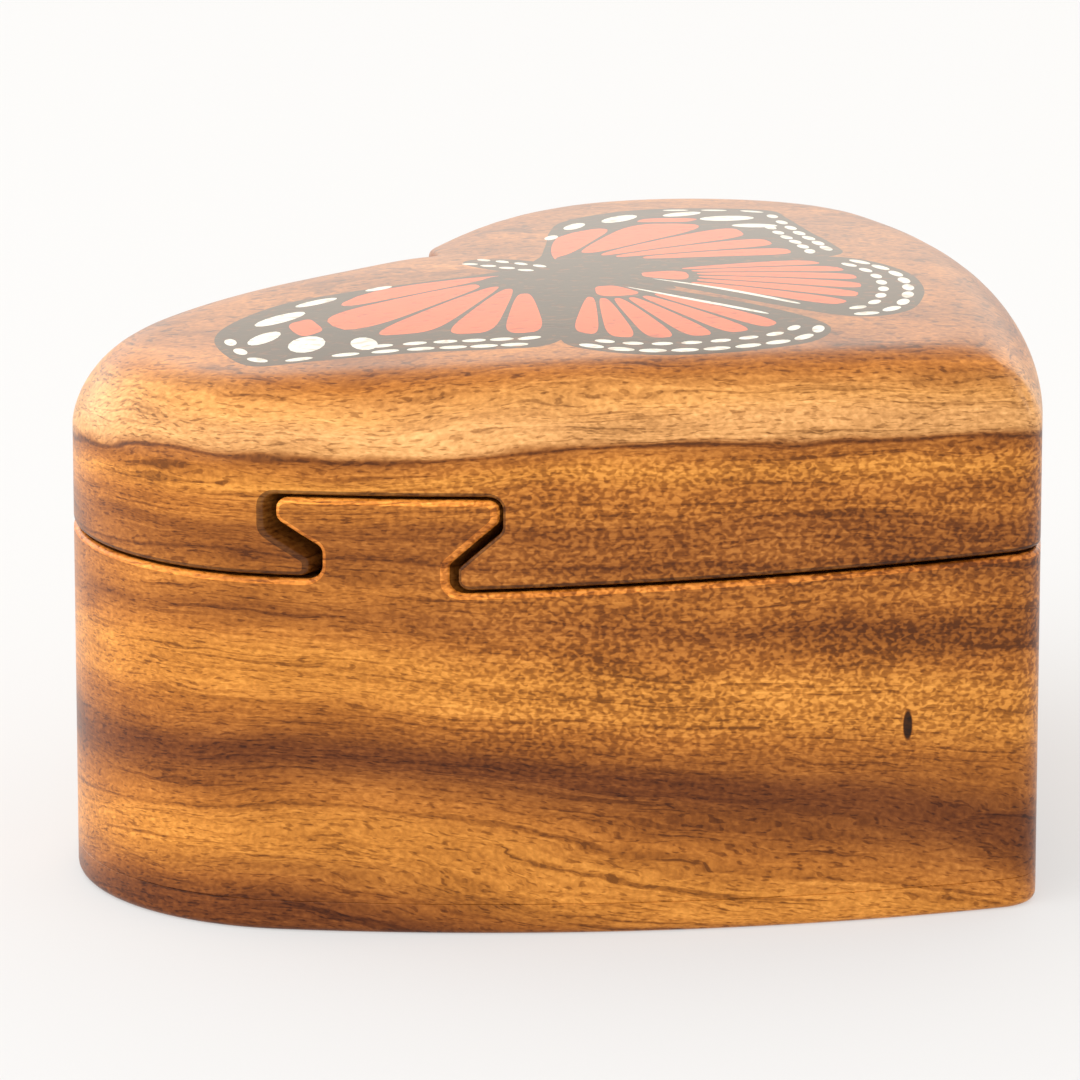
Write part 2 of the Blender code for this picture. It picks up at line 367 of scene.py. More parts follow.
def settle(made):
    """Moves a mesh from the heart's millimetres to the box's metres."""
    for vertex in made.data.vertices:
        x, y, z = vertex.co
        vertex.co = (x * MM, (y + SHIFT_Y) * MM, z * MM)


def open_edges(mesh):
    edit = bmesh.new()
    edit.from_mesh(mesh)
    count = sum(1 for edge in edit.edges if len(edge.link_faces) != 2)
    edit.free()
    return count


# %% [markdown]
# The base is one block. The heart's outline and the hollow are extruded well past the cut,
# and the saw takes the rest, which leaves the two dovetail rails standing on the side walls.

# %% Base
PLATE_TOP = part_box("bottom_plate")[1][2] / MM
GLUE_LINE = 0.03
BASE_LOW = PLATE_TOP + GLUE_LINE
WALL = 12.0
INNER_POINT_RADIUS = 4.0
BASE_EASE = 0.6
BASE_SLOTS = {WOOD: 0, SAWN: 1, EDGE: 2}


def make_base():
    high = SHOULDER_HEIGHT + RAIL_HEIGHT + SAW_MARGIN
    outside, inside = heart(), heart(WALL, INNER_POINT_RADIUS)
    kept = set(clear_of_cut(outside, base_edge)) & set(clear_of_cut(inside, base_edge))
    outside = [outside[i] for i in sorted(kept)]
    inside = [inside[i] for i in sorted(kept)]

    def fill(edit):
        loop = [at_height(outside, BASE_LOW), at_height(outside, high), at_height(inside, high),
                at_height(inside, BASE_LOW), at_height(outside, BASE_LOW)]
        skin(edit, loop)
        bmesh.ops.remove_doubles(edit, verts=edit.verts, dist=SEAM_WELD)

    base = solid("box_base", fill)
    sawn = cut(base, saw_solid(base_edge, high + SAW_MARGIN))
    edit = bmesh.new()
    edit.from_mesh(sawn)
    bmesh.ops.remove_doubles(edit, verts=edit.verts, dist=SAW_WELD)
    above = BASE_LOW + 2 * BASE_EASE
    # The rounded faces get the edge mark, whose material is lightened wood: a painted highlight
    rounded_count = ease_edges(edit, BASE_EASE, EDGE, lambda edge: min(v.co.z for v in edge.verts) > above)
    for face in edit.faces:
        face.material_index = BASE_SLOTS[face.material_index]
    base.data.materials.clear()
    edit.to_mesh(base.data)
    edit.free()
    settle(base)
    shade(base)
    return base, rounded_count


base, rounded_count = make_base()
print("base edges rounded:", rounded_count)
print("base faces:", len(base.data.polygons), "open edges:", open_edges(base.data))

# %% [markdown]
# The bottom plate is a thin heart glued under the base. Its lower edge is eased, and the
# seam above it stays a fine dark line.

# %% Bottom plate
PLATE_EASE = 0.9
PLATE_TOP_EASE = 0.12


def make_plate():
    def fill(edit):
        rings = []
        for i in range(EDGE_SEGMENTS + 2):
            turn = math.pi / 2 * i / (EDGE_SEGMENTS + 1)
            inset = PLATE_EASE * (1 - math.sin(turn))
            rings.append(at_height(heart(inset), PLATE_EASE * (1 - math.cos(turn))))
        rings.append(at_height(heart(), PLATE_TOP - PLATE_TOP_EASE))
        rings.append(at_height(heart(PLATE_TOP_EASE), PLATE_TOP))
        rows = skin(edit, rings)
        edit.faces.new(reversed(rows[0]))
        edit.faces.new(rows[-1])

    plate = solid("box_bottom_plate", fill)
    plate.data.materials.clear()
    settle(plate)
    shade(plate)
    return plate


plate = make_plate()
print("plate faces:", len(plate.data.polygons), "open edges:", open_edges(plate.data))

# %% [markdown]
# The lid's top is a very shallow dome with a tight round along its rim. Its height at any
# place depends on how deep that place lies inside the outline. The sander hardly reaches into
# the cleft, so the edge there is only broken by half a millimetre. Near the point the depths
# from the left and right halves would meet in a ridge, so the two are blended, as sandpaper
# does.

# %% Height of the dome
DOME_RADIUS = 500.0
DOME_Y = -28.0
EDGE_DROP = 7.4
EDGE_RUN = 9.6
EDGE_POWER_IN = 2.6
EDGE_POWER_UP = 1.6
CLEFT_SHARPNESS = 0.95
CLEFT_SPREAD = 22.0
CLEFT_Y = LOBE_RADIUS - CLEFT_DEPTH
EDGE_BREAK = 0.5
RIDGE_POWER = 4
OUTLINE_ARCS = heart_arcs()


def depth_in_half(x, y):
    """Distance from a point to the right half of the outline."""
    nearest = math.inf
    for centre, radius, start, end in OUTLINE_ARCS:
        low, high = min(start, end), max(start, end)
        angle = math.atan2(y - centre[1], x - centre[0])
        while angle < low:
            angle += 2 * math.pi
        if angle <= high:
            nearest = min(nearest, abs(math.dist((x, y), centre) - radius))
        else:
            for turn in (low, high):
                tip = (centre[0] + radius * math.cos(turn), centre[1] + radius * math.sin(turn))
                nearest = min(nearest, math.dist((x, y), tip))
    return nearest


def dome_height(x, y, depth=None):
    """Height of the lid's top. A rim point gives its own depth, which is then exact."""
    near, far = depth_in_half(abs(x), y), depth_in_half(-abs(x), y)
    if depth is not None:
        near = depth
    depth = near
    if near > 0:
        depth = near * (1 + (near / max(far, near)) ** RIDGE_POWER) ** (-1 / RIDGE_POWER)
    bowl = (x ** 2 + (y - DOME_Y) ** 2) / (2 * DOME_RADIUS)
    rim = 1 - (1 - min(depth / EDGE_RUN, 1.0)) ** EDGE_POWER_IN
    near_cleft = math.exp(-(x ** 2 + (y - CLEFT_Y) ** 2) / CLEFT_SPREAD ** 2)
    drop = EDGE_DROP * (1 - CLEFT_SHARPNESS * near_cleft)
    broken = near_cleft * EDGE_BREAK * (1 - math.sqrt(1 - max(1 - depth / EDGE_BREAK, 0.0) ** 2))
    return TOP_HEIGHT - bowl - drop * (1 - rim ** (1 / EDGE_POWER_UP)) - broken


print("dome at its middle:", round(dome_height(0, DOME_Y), 2))
print("dome over a lobe:", round(dome_height(LOBE_X, 0), 2))

# %% [markdown]
# The painted areas are polygons on the dome. A constrained triangulation takes the rim, an
# even grid of points and every painted outline at once, so that each triangle lies wholly
# inside or outside each area, and the paint's edges come out crisp without an image.

# %% Dome with painted areas
SKIRT_DEPTHS = (0.0, 0.03, 0.12, 0.27, 0.5)
RIM_DEPTHS = (0.8, 1.2, 1.7, 2.3, 3.0, 3.9, 4.9, 6.0, 7.2, 8.4)
GRID_STEP = 1.3
GRID_START = 9.2
OUTLINE = heart()


def in_outline(x, y):
    """Whether a point lies inside the heart."""
    inside = False
    for (ax, ay), (bx, by) in zip(OUTLINE, OUTLINE[1:] + OUTLINE[:1]):
        if (ay > y) != (by > y) and x < ax + (y - ay) / (by - ay) * (bx - ax):
            inside = not inside
    return inside


def grid_points():
    """Staggered rows of points, all well inside the rim."""
    points = []
    row = 0
    y = -POINT_REACH
    while y < LOBE_RADIUS:
        x = GRID_STEP / 2 * (row % 2)
        while x < HALF_WIDTH:
            if in_outline(x, y) and depth_in_half(x, y) > GRID_START:
                points += [(x, y), (-x, y)] if x > 0 else [(x, y)]
            x += GRID_STEP
        y += GRID_STEP * math.sqrt(3) / 2
        row += 1
    return points


def turned_left(outline):
    """The outline in counterclockwise order, which the triangulation needs to find its inside."""
    twice_area = sum(ax * by - bx * ay for (ax, ay), (bx, by) in zip(outline, outline[1:] + outline[:1]))
    return outline if twice_area > 0 else outline[::-1]


def triangulated(rim, loose, areas):
    """Points and triangles over the rim's polygon, each triangle with the last area it lies in."""
    points = [Vector(point) for point in turned_left(rim) + loose]
    faces = [list(range(len(rim)))]
    for area in areas:
        faces.append(list(range(len(points), len(points) + len(area))))
        points += [Vector(point) for point in turned_left(area)]
    verts, _, triangles, _, _, origins = delaunay_2d_cdt(points, [], faces, 1, 1e-4, True)
    return verts, [(triangle, max(owners) - 1) for triangle, owners in zip(triangles, origins) if owners]


grid = grid_points()
print("grid points on the dome:", len(grid))

# %% [markdown]
# The lid's block is a wall with a plain cone on it. The saw cuts its underside, and the sawn
# edges are eased. Then the cone comes off, and the triangulated dome is laid into the open rim
# and welded to it. So the Boolean never meets the thin triangles round the paint.

# %% The lid's block and dome
LID_EASE = 0.5
LID_LOW = SHOULDER_HEIGHT - SAW_MARGIN
DOME_WELD = 0.01
SAWN_SLOT = 4


def lid_rings():
    """The lid's wall and the start of its round, ring by ring, with points clear of the cut."""
    kept = clear_of_cut(OUTLINE, lid_edge)
    rings = []
    for depth in SKIRT_DEPTHS:
        outline = heart(depth)
        rings.append([(*outline[i], dome_height(*outline[i], depth)) for i in kept])
    return [[(x, y, LID_LOW) for x, y, z in rings[0]]] + rings


def lid_block(rings):
    """The closed block that the saw enters, with a cone in the place of the dome."""
    def fill(edit):
        rows = skin(edit, rings)
        edit.faces.new(reversed(rows[0]))
        middle = edit.verts.new((0.0, DOME_Y, TOP_HEIGHT))
        for i, corner in enumerate(rows[-1]):
            face = edit.faces.new((corner, rows[-1][(i + 1) % len(rows[-1])], middle))
            face.material_index = CAP

    return solid("box_lid", fill)


def lay_dome(edit, rim, areas, inks):
    """Lays the dome into the open rim, with each painted area's faces in its ink's slot."""
    loose = [point for depth in RIM_DEPTHS for point in heart(depth)] + grid
    points, triangles = triangulated([(x, y) for x, y, z in rim], loose, areas)
    rim_heights = {(round(x, 3), round(y, 3)): z for x, y, z in rim}
    tops = []
    for x, y in points:
        z = rim_heights.get((round(x, 3), round(y, 3)))
        tops.append(edit.verts.new((x, y, dome_height(x, y) if z is None else z)))
    for triangle, area in triangles:
        face = edit.faces.new([tops[i] for i in triangle])
        face.material_index = inks[area] if area >= 0 else 0
    bmesh.ops.remove_doubles(edit, verts=edit.verts, dist=DOME_WELD)
    bmesh.ops.delete(edit, geom=[v for v in edit.verts if not v.link_faces], context="VERTS")
    bmesh.ops.recalc_face_normals(edit, faces=edit.faces)


def make_lid(areas, inks):
    rings = lid_rings()
    lid = lid_block(rings)
    sawn = cut(lid, saw_solid(lid_edge, LID_LOW - SAW_MARGIN))
    edit = bmesh.new()
    edit.from_mesh(sawn)
    bmesh.ops.remove_doubles(edit, verts=edit.verts, dist=SAW_WELD)
    below = min(z for x, y, z in rings[1]) - 2 * LID_EASE
    # The lid's eased edges take the darkened sawn material: painted shade, a dark line round the tongue
    # and along the split
    rounded_count = ease_edges(edit, LID_EASE, SAWN, lambda edge: max(v.co.z for v in edge.verts) < below)
    caps = [face for face in edit.faces if face.material_index == CAP]
    bmesh.ops.delete(edit, geom=caps, context="FACES")
    for face in edit.faces:
        face.material_index = SAWN_SLOT if face.material_index == SAWN else 0
    lay_dome(edit, rings[-1], areas, inks)
    lid.data.materials.clear()
    edit.to_mesh(lid.data)
    edit.free()
    return lid, rounded_count


edge_heights = [z for x, y, z in lid_rings()[1]]
print("lid's upper edge in mm:", round(min(edge_heights), 2), "to", round(max(edge_heights), 2))

# %% [markdown]
# Long thin triangles round the painted areas would show as faint creases in the varnish. The
# dome's height is a formula, so its true normal is known everywhere, and each vertex on the
# dome is given it. The wall and the sawn faces keep the normals of their own faces.

# %% The lid's shading
NORMAL_STEP = 0.05
DOME_LOWEST = 48.0
ON_SURFACE = 0.01
ROUND_DEPTH = 0.4


def dome_normal(x, y):
    """The dome's true upward normal, from its height a small step away."""
    slope_x = (dome_height(x + NORMAL_STEP, y) - dome_height(x - NORMAL_STEP, y)) / (2 * NORMAL_STEP)
    slope_y = (dome_height(x, y + NORMAL_STEP) - dome_height(x, y - NORMAL_STEP)) / (2 * NORMAL_STEP)
    return Vector((-slope_x, -slope_y, 1.0)).normalized()


def on_dome(x, y, z):
    if z <= DOME_LOWEST or not in_outline(x, y):
        return False
    return abs(z - dome_height(x, y)) < ON_SURFACE and depth_in_half(abs(x), y) > ROUND_DEPTH


def shade_lid(lid):
    mesh = lid.data
    mesh.shade_smooth()
    mesh.set_sharp_from_angle(angle=SHARP)
    unchanged = Vector((0.0, 0.0, 0.0))
    places = [vertex.co for vertex in mesh.vertices]
    normals = [dome_normal(x, y) if on_dome(x, y, z) else unchanged for x, y, z in places]
    mesh.normals_split_custom_set_from_vertices(normals)
    return sum(1 for normal in normals if normal.length > 0)


# %% [markdown]
# The butterfly is flat paint, so it isn't raised: it is a set of outlines on the dome. Only
# the right half is drawn, and the left half mirrors it. Every shape on a wing is given by an
# angle round the wing's root and a share of the way to its edge, so that it follows the wing.

# %% Drawing on the lid
BUTTERFLY_X = -2.5
BLACK, ORANGE, WHITE = 1, 2, 3
areas = []
inks = []


def paint(ink, outline, both_sides=True):
    """Keeps one painted area, and its mirror image where both sides have it."""
    for side in (1, -1) if both_sides else (1,):
        areas.append([(BUTTERFLY_X + side * x, y) for x, y in outline])
        inks.append(ink)


def smooth_loop(points, steps=5):
    """A closed curve that runs smoothly through the points."""
    curve = []
    for i in range(len(points)):
        a, b, c, d = (Vector(points[(i + k) % len(points)]) for k in (-1, 0, 1, 2))
        for step in range(steps):
            t = step / steps
            straight = 2 * b + (c - a) * t
            bend = (2 * a - 5 * b + 4 * c - d) * t ** 2 + (3 * b - a - 3 * c + d) * t ** 3
            curve.append(tuple((straight + bend) / 2))
    return curve


def oval(centre, half_length, half_width, angle, steps=14):
    """An ellipse whose length points along the angle, in degrees."""
    ux, uy = math.cos(math.radians(angle)), math.sin(math.radians(angle))
    outline = []
    for i in range(steps):
        turn = 2 * math.pi * i / steps
        along, across = half_length * math.cos(turn), half_width * math.sin(turn)
        outline.append((centre[0] + ux * along - uy * across, centre[1] + uy * along + ux * across))
    return outline


def on_wing(wing, angle, share):
    """The place at a share of the way from the wing's root to its edge, along an angle."""
    (rx, ry), outline = wing
    dx, dy = math.cos(math.radians(angle)), math.sin(math.radians(angle))
    reach = 0.0
    for (ax, ay), (bx, by) in zip(outline, outline[1:] + outline[:1]):
        across = dx * (by - ay) - dy * (bx - ax)
        if abs(across) > 1e-9:
            ahead = ((ax - rx) * (by - ay) - (ay - ry) * (bx - ax)) / across
            within = ((ax - rx) * dy - (ay - ry) * dx) / across
            if 0 <= within < 1:
                reach = max(reach, ahead)
    return (rx + dx * reach * share, ry + dy * reach * share)


def field(wing, angles, shares, steps=28, roundness=0.55):
    """A rounded field between two angles and two shares of the way to the edge."""
    outline = []
    for i in range(steps):
        turn = 2 * math.pi * i / steps
        across = math.copysign(abs(math.cos(turn)) ** roundness, math.cos(turn))
        along = math.copysign(abs(math.sin(turn)) ** roundness, math.sin(turn))
        angle = (angles[0] + angles[1] + (angles[1] - angles[0]) * across) / 2
        share = (shares[0] + shares[1] + (shares[1] - shares[0]) * along) / 2
        outline.append(on_wing(wing, angle, share))
    return outline


def edge_spots(wing, first, last, count, share, half_length, half_width):
    """A row of white spots that follows the wing's edge."""
    for i in range(count):
        angle = first + (last - first) * i / (count - 1)
        centre = on_wing(wing, angle, share)
        ahead = on_wing(wing, angle - 1, share)
        lean = math.degrees(math.atan2(ahead[1] - centre[1], ahead[0] - centre[0]))
        paint(WHITE, oval(centre, half_length, half_width, lean))


# %% [markdown]
# Each wing is one black shape. Orange fields are laid on it as rounded fans round its root,
# and what stays black between them are the veins. White spots follow the edge. This is the
# plain pattern of a common orange butterfly, in a layout of this lesson's own. A shape that
# is painted later covers the ones before it.

# %% The butterfly
fore_wing = ((3.0, -6.5), smooth_loop((
    (1.5, -5.0), (6.0, -2.0), (12.0, 2.0), (18.0, 6.2), (25.0, 9.8), (33.5, 9.8), (39.5, 7.2),
    (44.3, 1.4), (46.3, -4.0), (42.6, -8.8), (38.4, -13.8), (35.0, -18.0), (30.5, -24.2),
    (26.5, -28.0), (20.0, -26.6), (11.0, -22.0), (2.0, -16.0))))
hind_wing = ((1.6, -15.0), smooth_loop((
    (1.2, -14.0), (10.0, -19.0), (20.0, -25.0), (25.0, -29.0), (25.4, -34.0), (23.4, -39.5),
    (19.5, -44.0), (15.0, -47.3), (9.0, -49.8), (3.8, -48.6), (1.4, -44.5), (0.6, -36.0), (0.8, -24.0))))

paint(BLACK, fore_wing[1])
paint(BLACK, hind_wing[1])
for angles, shares in (((21, 44), (0.14, 0.62)), ((-1, 19), (0.16, 0.66)), ((-17, -3), (0.18, 0.76)),
                       ((-31, -19), (0.22, 0.80)), ((-43, -33), (0.3, 0.82)), ((8, 19), (0.69, 0.77))):
    paint(ORANGE, field(fore_wing, angles, shares))
for first in (-84, -75, -66, -57, -48, -39):
    paint(ORANGE, field(hind_wing, (first, first + 7.4), (0.28, 0.80)))
paint(ORANGE, field(hind_wing, (-76, -40), (0.10, 0.25)))

for angle, share, half_length, half_width, lean in ((24, 0.80, 3.4, 1.5, 10), (14, 0.86, 2.7, 1.4, -10),
                                                    (4, 0.80, 3.2, 2.0, -35), (-6, 0.84, 2.6, 1.4, -50),
                                                    (33, 0.78, 2.6, 1.0, 20), (40, 0.80, 1.6, 0.7, 25)):
    paint(WHITE, oval(on_wing(fore_wing, angle, share), half_length, half_width, lean))
edge_spots(fore_wing, 17, -36, 10, 0.955, 1.5, 0.62)
edge_spots(fore_wing, -10, -39, 6, 0.885, 1.3, 0.62)
edge_spots(hind_wing, -37, -85, 9, 0.95, 1.5, 0.66)
edge_spots(hind_wing, -40, -82, 8, 0.87, 1.15, 0.6)

# The white streaks down the inner edge of the hind wings, then the body over everything
paint(WHITE, smooth_loop(((2.4, -20.0), (3.3, -29.0), (3.2, -38.5), (2.6, -38.5), (2.6, -29.0))))
paint(BLACK, oval((0.0, -15.0), 10.0, 1.9, 90, steps=28), both_sides=False)
paint(BLACK, oval((0.0, -3.0), 7.0, 2.9, 90, steps=28), both_sides=False)
for y in (2.4, -0.2, -2.8, -5.4):
    paint(WHITE, oval((1.25, y), 1.0, 0.5, 80, steps=10))

print("painted areas:", len(areas))

# %% [markdown]
# With the outlines known, the lid can be made in one go. Its faces already say which of them
# is wood, which is paint of which colour, and which was sawn.

# %% The lid with its butterfly
lid, rounded_count = make_lid(areas, inks)
true_normals = shade_lid(lid)
settle(lid)
print("lid edges rounded:", rounded_count, "vertices with the dome's own normal:", true_normals)
print("lid faces:", len(lid.data.polygons), "open edges:", open_edges(lid.data))

# %% [markdown]
# The wood is worked out in solid space, so that the layers of the block run on from the base
# over the cut into the lid, as they do in the real box. The sums are written as Python
# expressions: a small class wraps a socket, and each operator on it adds the node that does
# the sum.

# %% Shader arithmetic
class Wire:
    """A socket of a shader, which Python's operators can work with."""

    def __init__(self, tree, socket=None):
        self.tree = tree
        self.socket = socket

    def node(self, kind, settings=None, sockets=None, output=0):
        """Adds a node: its settings first, then the values or links of its sockets."""
        made = self.tree.nodes.new(kind)
        settings = dict(settings or {})
        stops = settings.pop("stops", ())
        for name, value in settings.items():
            setattr(made, name, value)
        for i, (place, colour) in enumerate(stops):
            ramp = made.color_ramp.elements
            stop = ramp[i] if i < 2 else ramp.new(place)
            stop.position = place
            stop.color = colour
        for name, value in (sockets or {}).items():
            if isinstance(value, Wire):
                self.tree.links.new(value.socket, made.inputs[name])
            else:
                made.inputs[name].default_value = value
        return Wire(self.tree, made.outputs[output] if made.outputs else None)

    def math(self, operation, *values):
        """A sum of the given values, which are sockets or numbers in the node's own order."""
        return self.node("ShaderNodeMath", {"operation": operation}, dict(enumerate(values)))

    def __add__(self, other):
        return self.math("ADD", self, other)

    def __sub__(self, other):
        return self.math("SUBTRACT", self, other)

    def __rsub__(self, other):
        return self.math("SUBTRACT", other, self)

    def __mul__(self, other):
        return self.math("MULTIPLY", self, other)

    def __truediv__(self, other):
        return self.math("DIVIDE", self, other)

    def __abs__(self):
        return self.math("ABSOLUTE", self)

    __radd__ = __add__
    __rmul__ = __mul__

    def step(self, low, high):
        """Runs smoothly from 0 at low to 1 at high."""
        return self.node("ShaderNodeMapRange", {"interpolation_type": "SMOOTHSTEP"},
                         {"Value": self, "From Min": low, "From Max": high})

    def bump_at(self, middle, reach):
        """1 at the middle value, falling smoothly to 0 at reach on either side."""
        return 1 - abs(self - middle).step(0.0, reach)

    def pick(self, low, high):
        """A colour: low where this is 0, high where it is 1."""
        return self.node("ShaderNodeMix", {"data_type": "RGBA"}, {0: self, 6: low, 7: high}, output=2)

    def times(self, factor):
        """This colour or vector times a number."""
        return self.node("ShaderNodeVectorMath", {"operation": "SCALE"}, {0: self, "Scale": factor})


# %% [markdown]
# A colour is judged on the screen, but a shader counts light. One function turns the
# first into the second, and every colour of the box goes through it.

# %% Colours on the screen
def seen(red, green, blue):
    """A screen colour of 0 to 255 as the linear colour that a shader takes."""
    channels = [value / 255 for value in (red, green, blue)]
    return tuple(c / 12.92 if c <= 0.04045 else ((c + 0.055) / 1.055) ** 2.4 for c in channels) + (1.0,)


# The two palest colours are painted highlight, laid on the lid's rounded rim where it catches the light
RIM_HIGHLIGHT_TAN = seen(222, 160, 96)
RIM_HIGHLIGHT_STRAW = seen(217, 151, 80)
HONEY = seen(212, 137, 55)
AMBER = seen(188, 115, 44)
CHESTNUT = seen(157, 91, 33)
UMBER = seen(118, 62, 22)
print("honey in linear light:", [round(value, 3) for value in HONEY[:3]])

# %% [markdown]
# The block is a golden hardwood whose dark growth bands lie nearly level. They sink a little
# towards the point, because the log wasn't straight. One colour ramp runs through the layers
# from the plate to the lid, and it is read at a height that slopes, dips and waves. Its pale
# bands on the lid's rounded rim are painted highlight: the light that the rim catches from above.

# %% The layers of the block
# The pale bands from 54.2 to 58.5 mm lie on the lid's rounded rim: painted highlight, not growth layers
LAYERS = (
    (-8.0, UMBER), (-1.0, UMBER), (1.0, CHESTNUT), (4.5, HONEY), (7.5, HONEY), (10.0, AMBER),
    (12.0, CHESTNUT), (14.5, UMBER), (16.5, UMBER), (18.5, CHESTNUT), (21.5, AMBER),
    (24.5, HONEY), (29.0, HONEY), (31.5, AMBER), (34.0, CHESTNUT), (37.0, AMBER),
    (40.0, CHESTNUT), (44.5, CHESTNUT), (46.0, AMBER), (48.5, AMBER), (50.5, HONEY),
    (52.0, AMBER), (53.4, CHESTNUT), (54.2, RIM_HIGHLIGHT_TAN), (56.0, RIM_HIGHLIGHT_TAN), (58.5, RIM_HIGHLIGHT_STRAW), (61.0, AMBER),
    (63.0, CHESTNUT), (66.0, CHESTNUT),
)
LAYER_START = -8.0
LAYER_SPAN = 80.0
FLANK_ALONG = (0.612, -0.791, 17.64)
FLANK_INTO = (0.791, 0.612, -13.65)


def noise(u, v, w, cell, detail=1.0, distortion=0.0, shift=0.0):
    """Noise from 0 to 1 whose cells measure the given millimetres along u, v and w."""
    spot = u.node("ShaderNodeCombineXYZ", {}, {0: u / cell[0] + shift, 1: v / cell[1], 2: w / cell[2]})
    sockets = {"Vector": spot, "Scale": 1.0, "Detail": detail, "Distortion": distortion}
    return spot.node("ShaderNodeTexNoise", {}, sockets)


def wood_place(wire):
    """The place in the block in millimetres: along the near flank, into it, and up."""
    place = wire.node("ShaderNodeTexCoord", output="Object")
    x, y, z = (place.node("ShaderNodeSeparateXYZ", {}, {0: place}, output=axis) / MM for axis in range(3))
    u = x * FLANK_ALONG[0] + y * FLANK_ALONG[1] + FLANK_ALONG[2]
    v = x * FLANK_INTO[0] + y * FLANK_INTO[1] + FLANK_INTO[2]
    return u, v, z


def layer_height(u, v, z):
    """The height of a place in the stack of layers, all in millimetres."""
    # Low down the layers sink more steeply to the point, and over the left lobe they run level
    slope = 0.175 - (z - 12.0).step(0.0, 32.0) * 0.125
    along = u.math("SMOOTH_MAX", u, -24.0, 10.0)
    # Behind the flank they sink too, by 4 mm at the most
    into = v.math("SMOOTH_MAX", (v + 50.0) * 0.11, 0.0, 1.0)
    into = v.math("MINIMUM", into, 4.0)
    # The lid's layers bend down over the left lobe, and the dark band swells in the middle
    drop = (1 - u.step(-20.0, 8.0)) * z.step(41.0, 49.0) * 3.2
    lift = u.step(0.0, 45.0) * 2.0 + u.step(-38.0, 0.0) * z.bump_at(15.0, 14.0) * 3.0
    waves = (noise(u, v, z, (60.0, 35.0, 18.0)) - 0.5) * 3.0
    ripples = (noise(u, v, z, (15.0, 9.0, 3.0), detail=3.0) - 0.5) * 2.6
    return z + slope * along + into + drop - lift + waves + ripples


def layer_colour(w):
    stops = [((height - LAYER_START) / LAYER_SPAN, colour) for height, colour in LAYERS]
    return w.node("ShaderNodeValToRGB", {"stops": stops}, {0: (w - LAYER_START) / LAYER_SPAN})


print("layers in the ramp:", len(LAYERS))

# %% [markdown]
# Over the layers lies the grain: long streaks, a few dark lines, short open pores, and a fine
# mottle. At the right the fibres are curled, and the surface is covered in small worm-like
# marks, which soft noise with a little distortion gives. A dark slit near the point is a tiny
# knot. All of it is one number, the tone, which darkens the layer's colour. A gamma makes the
# darks warmer as well, as varnish does.

# %% The grain
THIN_LINES = ((40.4, 0.3), (47.0, 0.25), (53.3, 0.45), (9.2, 0.25))
THIN_LINE_REACH = 0.4
KNOT = (42.6, -48.2, 21.5)
KNOT_SIZE = (0.5, 4.0, 1.7)
KNOT_DEPTH = 0.93
DARKEST_TONE = 0.35
WARMER_DARKS = 0.32
DEPTH_OF_COLOUR = 0.96


def knot_at(u, v, z):
    """1 within the small slit-shaped knot, 0 outside it."""
    offsets = [(axis - middle) / size for axis, middle, size in zip((u, v, z), KNOT, KNOT_SIZE)]
    return 1 - sum(offset * offset for offset in offsets).step(0.6, 1.3)


def curly_part(u, z):
    """1 where the fibres are curled, at the right and under the lid's round."""
    return (0.25 + 0.75 * u.step(-24.0, 8.0) * z.step(14.0, 24.0)) * (1 - 0.7 * z.step(50.5, 53.5))


def grain(u, v, z, w):
    """The wood's tone, its fine relief and its open pores."""
    # Each noise has its cell in millimetres along the grain, across it and through the layers
    streaks = noise(u, v, w, (22.0, 12.0, 0.45), detail=4.0) - 0.5
    lines = noise(u, v, w, (30.0, 14.0, 0.7), detail=3.0, shift=7.0).step(0.60, 0.66)
    patches = noise(u, v, w, (17.0, 10.0, 5.0), detail=2.0, shift=5.0) - 0.5
    pores = noise(u, v, w, (1.5, 1.1, 0.26), detail=1.0, shift=3.0).step(0.58, 0.67)
    mottle = noise(u, v, w, (0.75, 0.6, 0.3), detail=2.0, shift=11.0) - 0.5
    curls = noise(u, v, z, (0.62, 0.62, 0.45), detail=0.0, distortion=0.5).step(0.3, 0.7)
    curly = curly_part(u, z)

    # Each mark's share in the tone. Where the fibres curl, the curls take the mottle's place
    tone = 1 + streaks * 0.8 + patches * 0.8 - lines * 0.3 - pores * (0.4 - 0.2 * curly)
    tone = tone + mottle * (0.9 - 0.5 * curly) + (curls - 0.66) * curly * 0.54
    # A dark smear below the cut near the point, then the thin dark lines
    tone = tone - u.step(20.0, 44.0) * z.bump_at(31.5, 4.5) * 0.3
    for height, depth in THIN_LINES:
        tone = tone - w.bump_at(height, THIN_LINE_REACH) * depth
    tone = tone.math("MAXIMUM", tone, DARKEST_TONE) * (1 - KNOT_DEPTH * knot_at(u, v, z))
    return tone, curls * 0.3 - pores - lines * 0.3, pores


def block_of_wood(wire):
    """The wood's colour, its fine relief and its open pores."""
    u, v, z = wood_place(wire)
    w = layer_height(u, v, z)
    tone, relief, pores = grain(u, v, z, w)
    sockets = {"Color": layer_colour(w), "Gamma": 1.0 + (1 - tone) * WARMER_DARKS}
    deeper = wire.node("ShaderNodeGamma", {}, sockets)
    return deeper.times(tone * DEPTH_OF_COLOUR), relief, pores


# %% [markdown]
# Everything lies under one satin varnish, the paint too. The varnish is the shader's coat: a
# weak mirror that is a little blurred. Paint is thin and brushed on, so the pores show
# through it, and its strength wavers. The sawn faces are darkened: painted shade for the
# shadow inside the joint and its gaps. The base's rounded edges are lightened: a painted
# highlight for the light that they catch.

# %% Varnish and paint
BLACK_PAINT = seen(56, 45, 32)
ORANGE_PAINT = seen(216, 88, 40)
WHITE_PAINT = seen(224, 218, 204)
PAINT_COVER = 0.94
PAINT_MISSING_IN_PORES = 0.35
BRUSH_CELL = (2.6, 2.6, 2.6)
BRUSH_STRENGTH = 0.3
# Painted shade: the sawn faces are darkened to stand in for the shadow inside the joint
SAWN_PAINTED_SHADE = 0.4
# Painted highlight: the base's rounded edges are lightened for the light line they catch
EDGE_PAINTED_HIGHLIGHT = 1.8


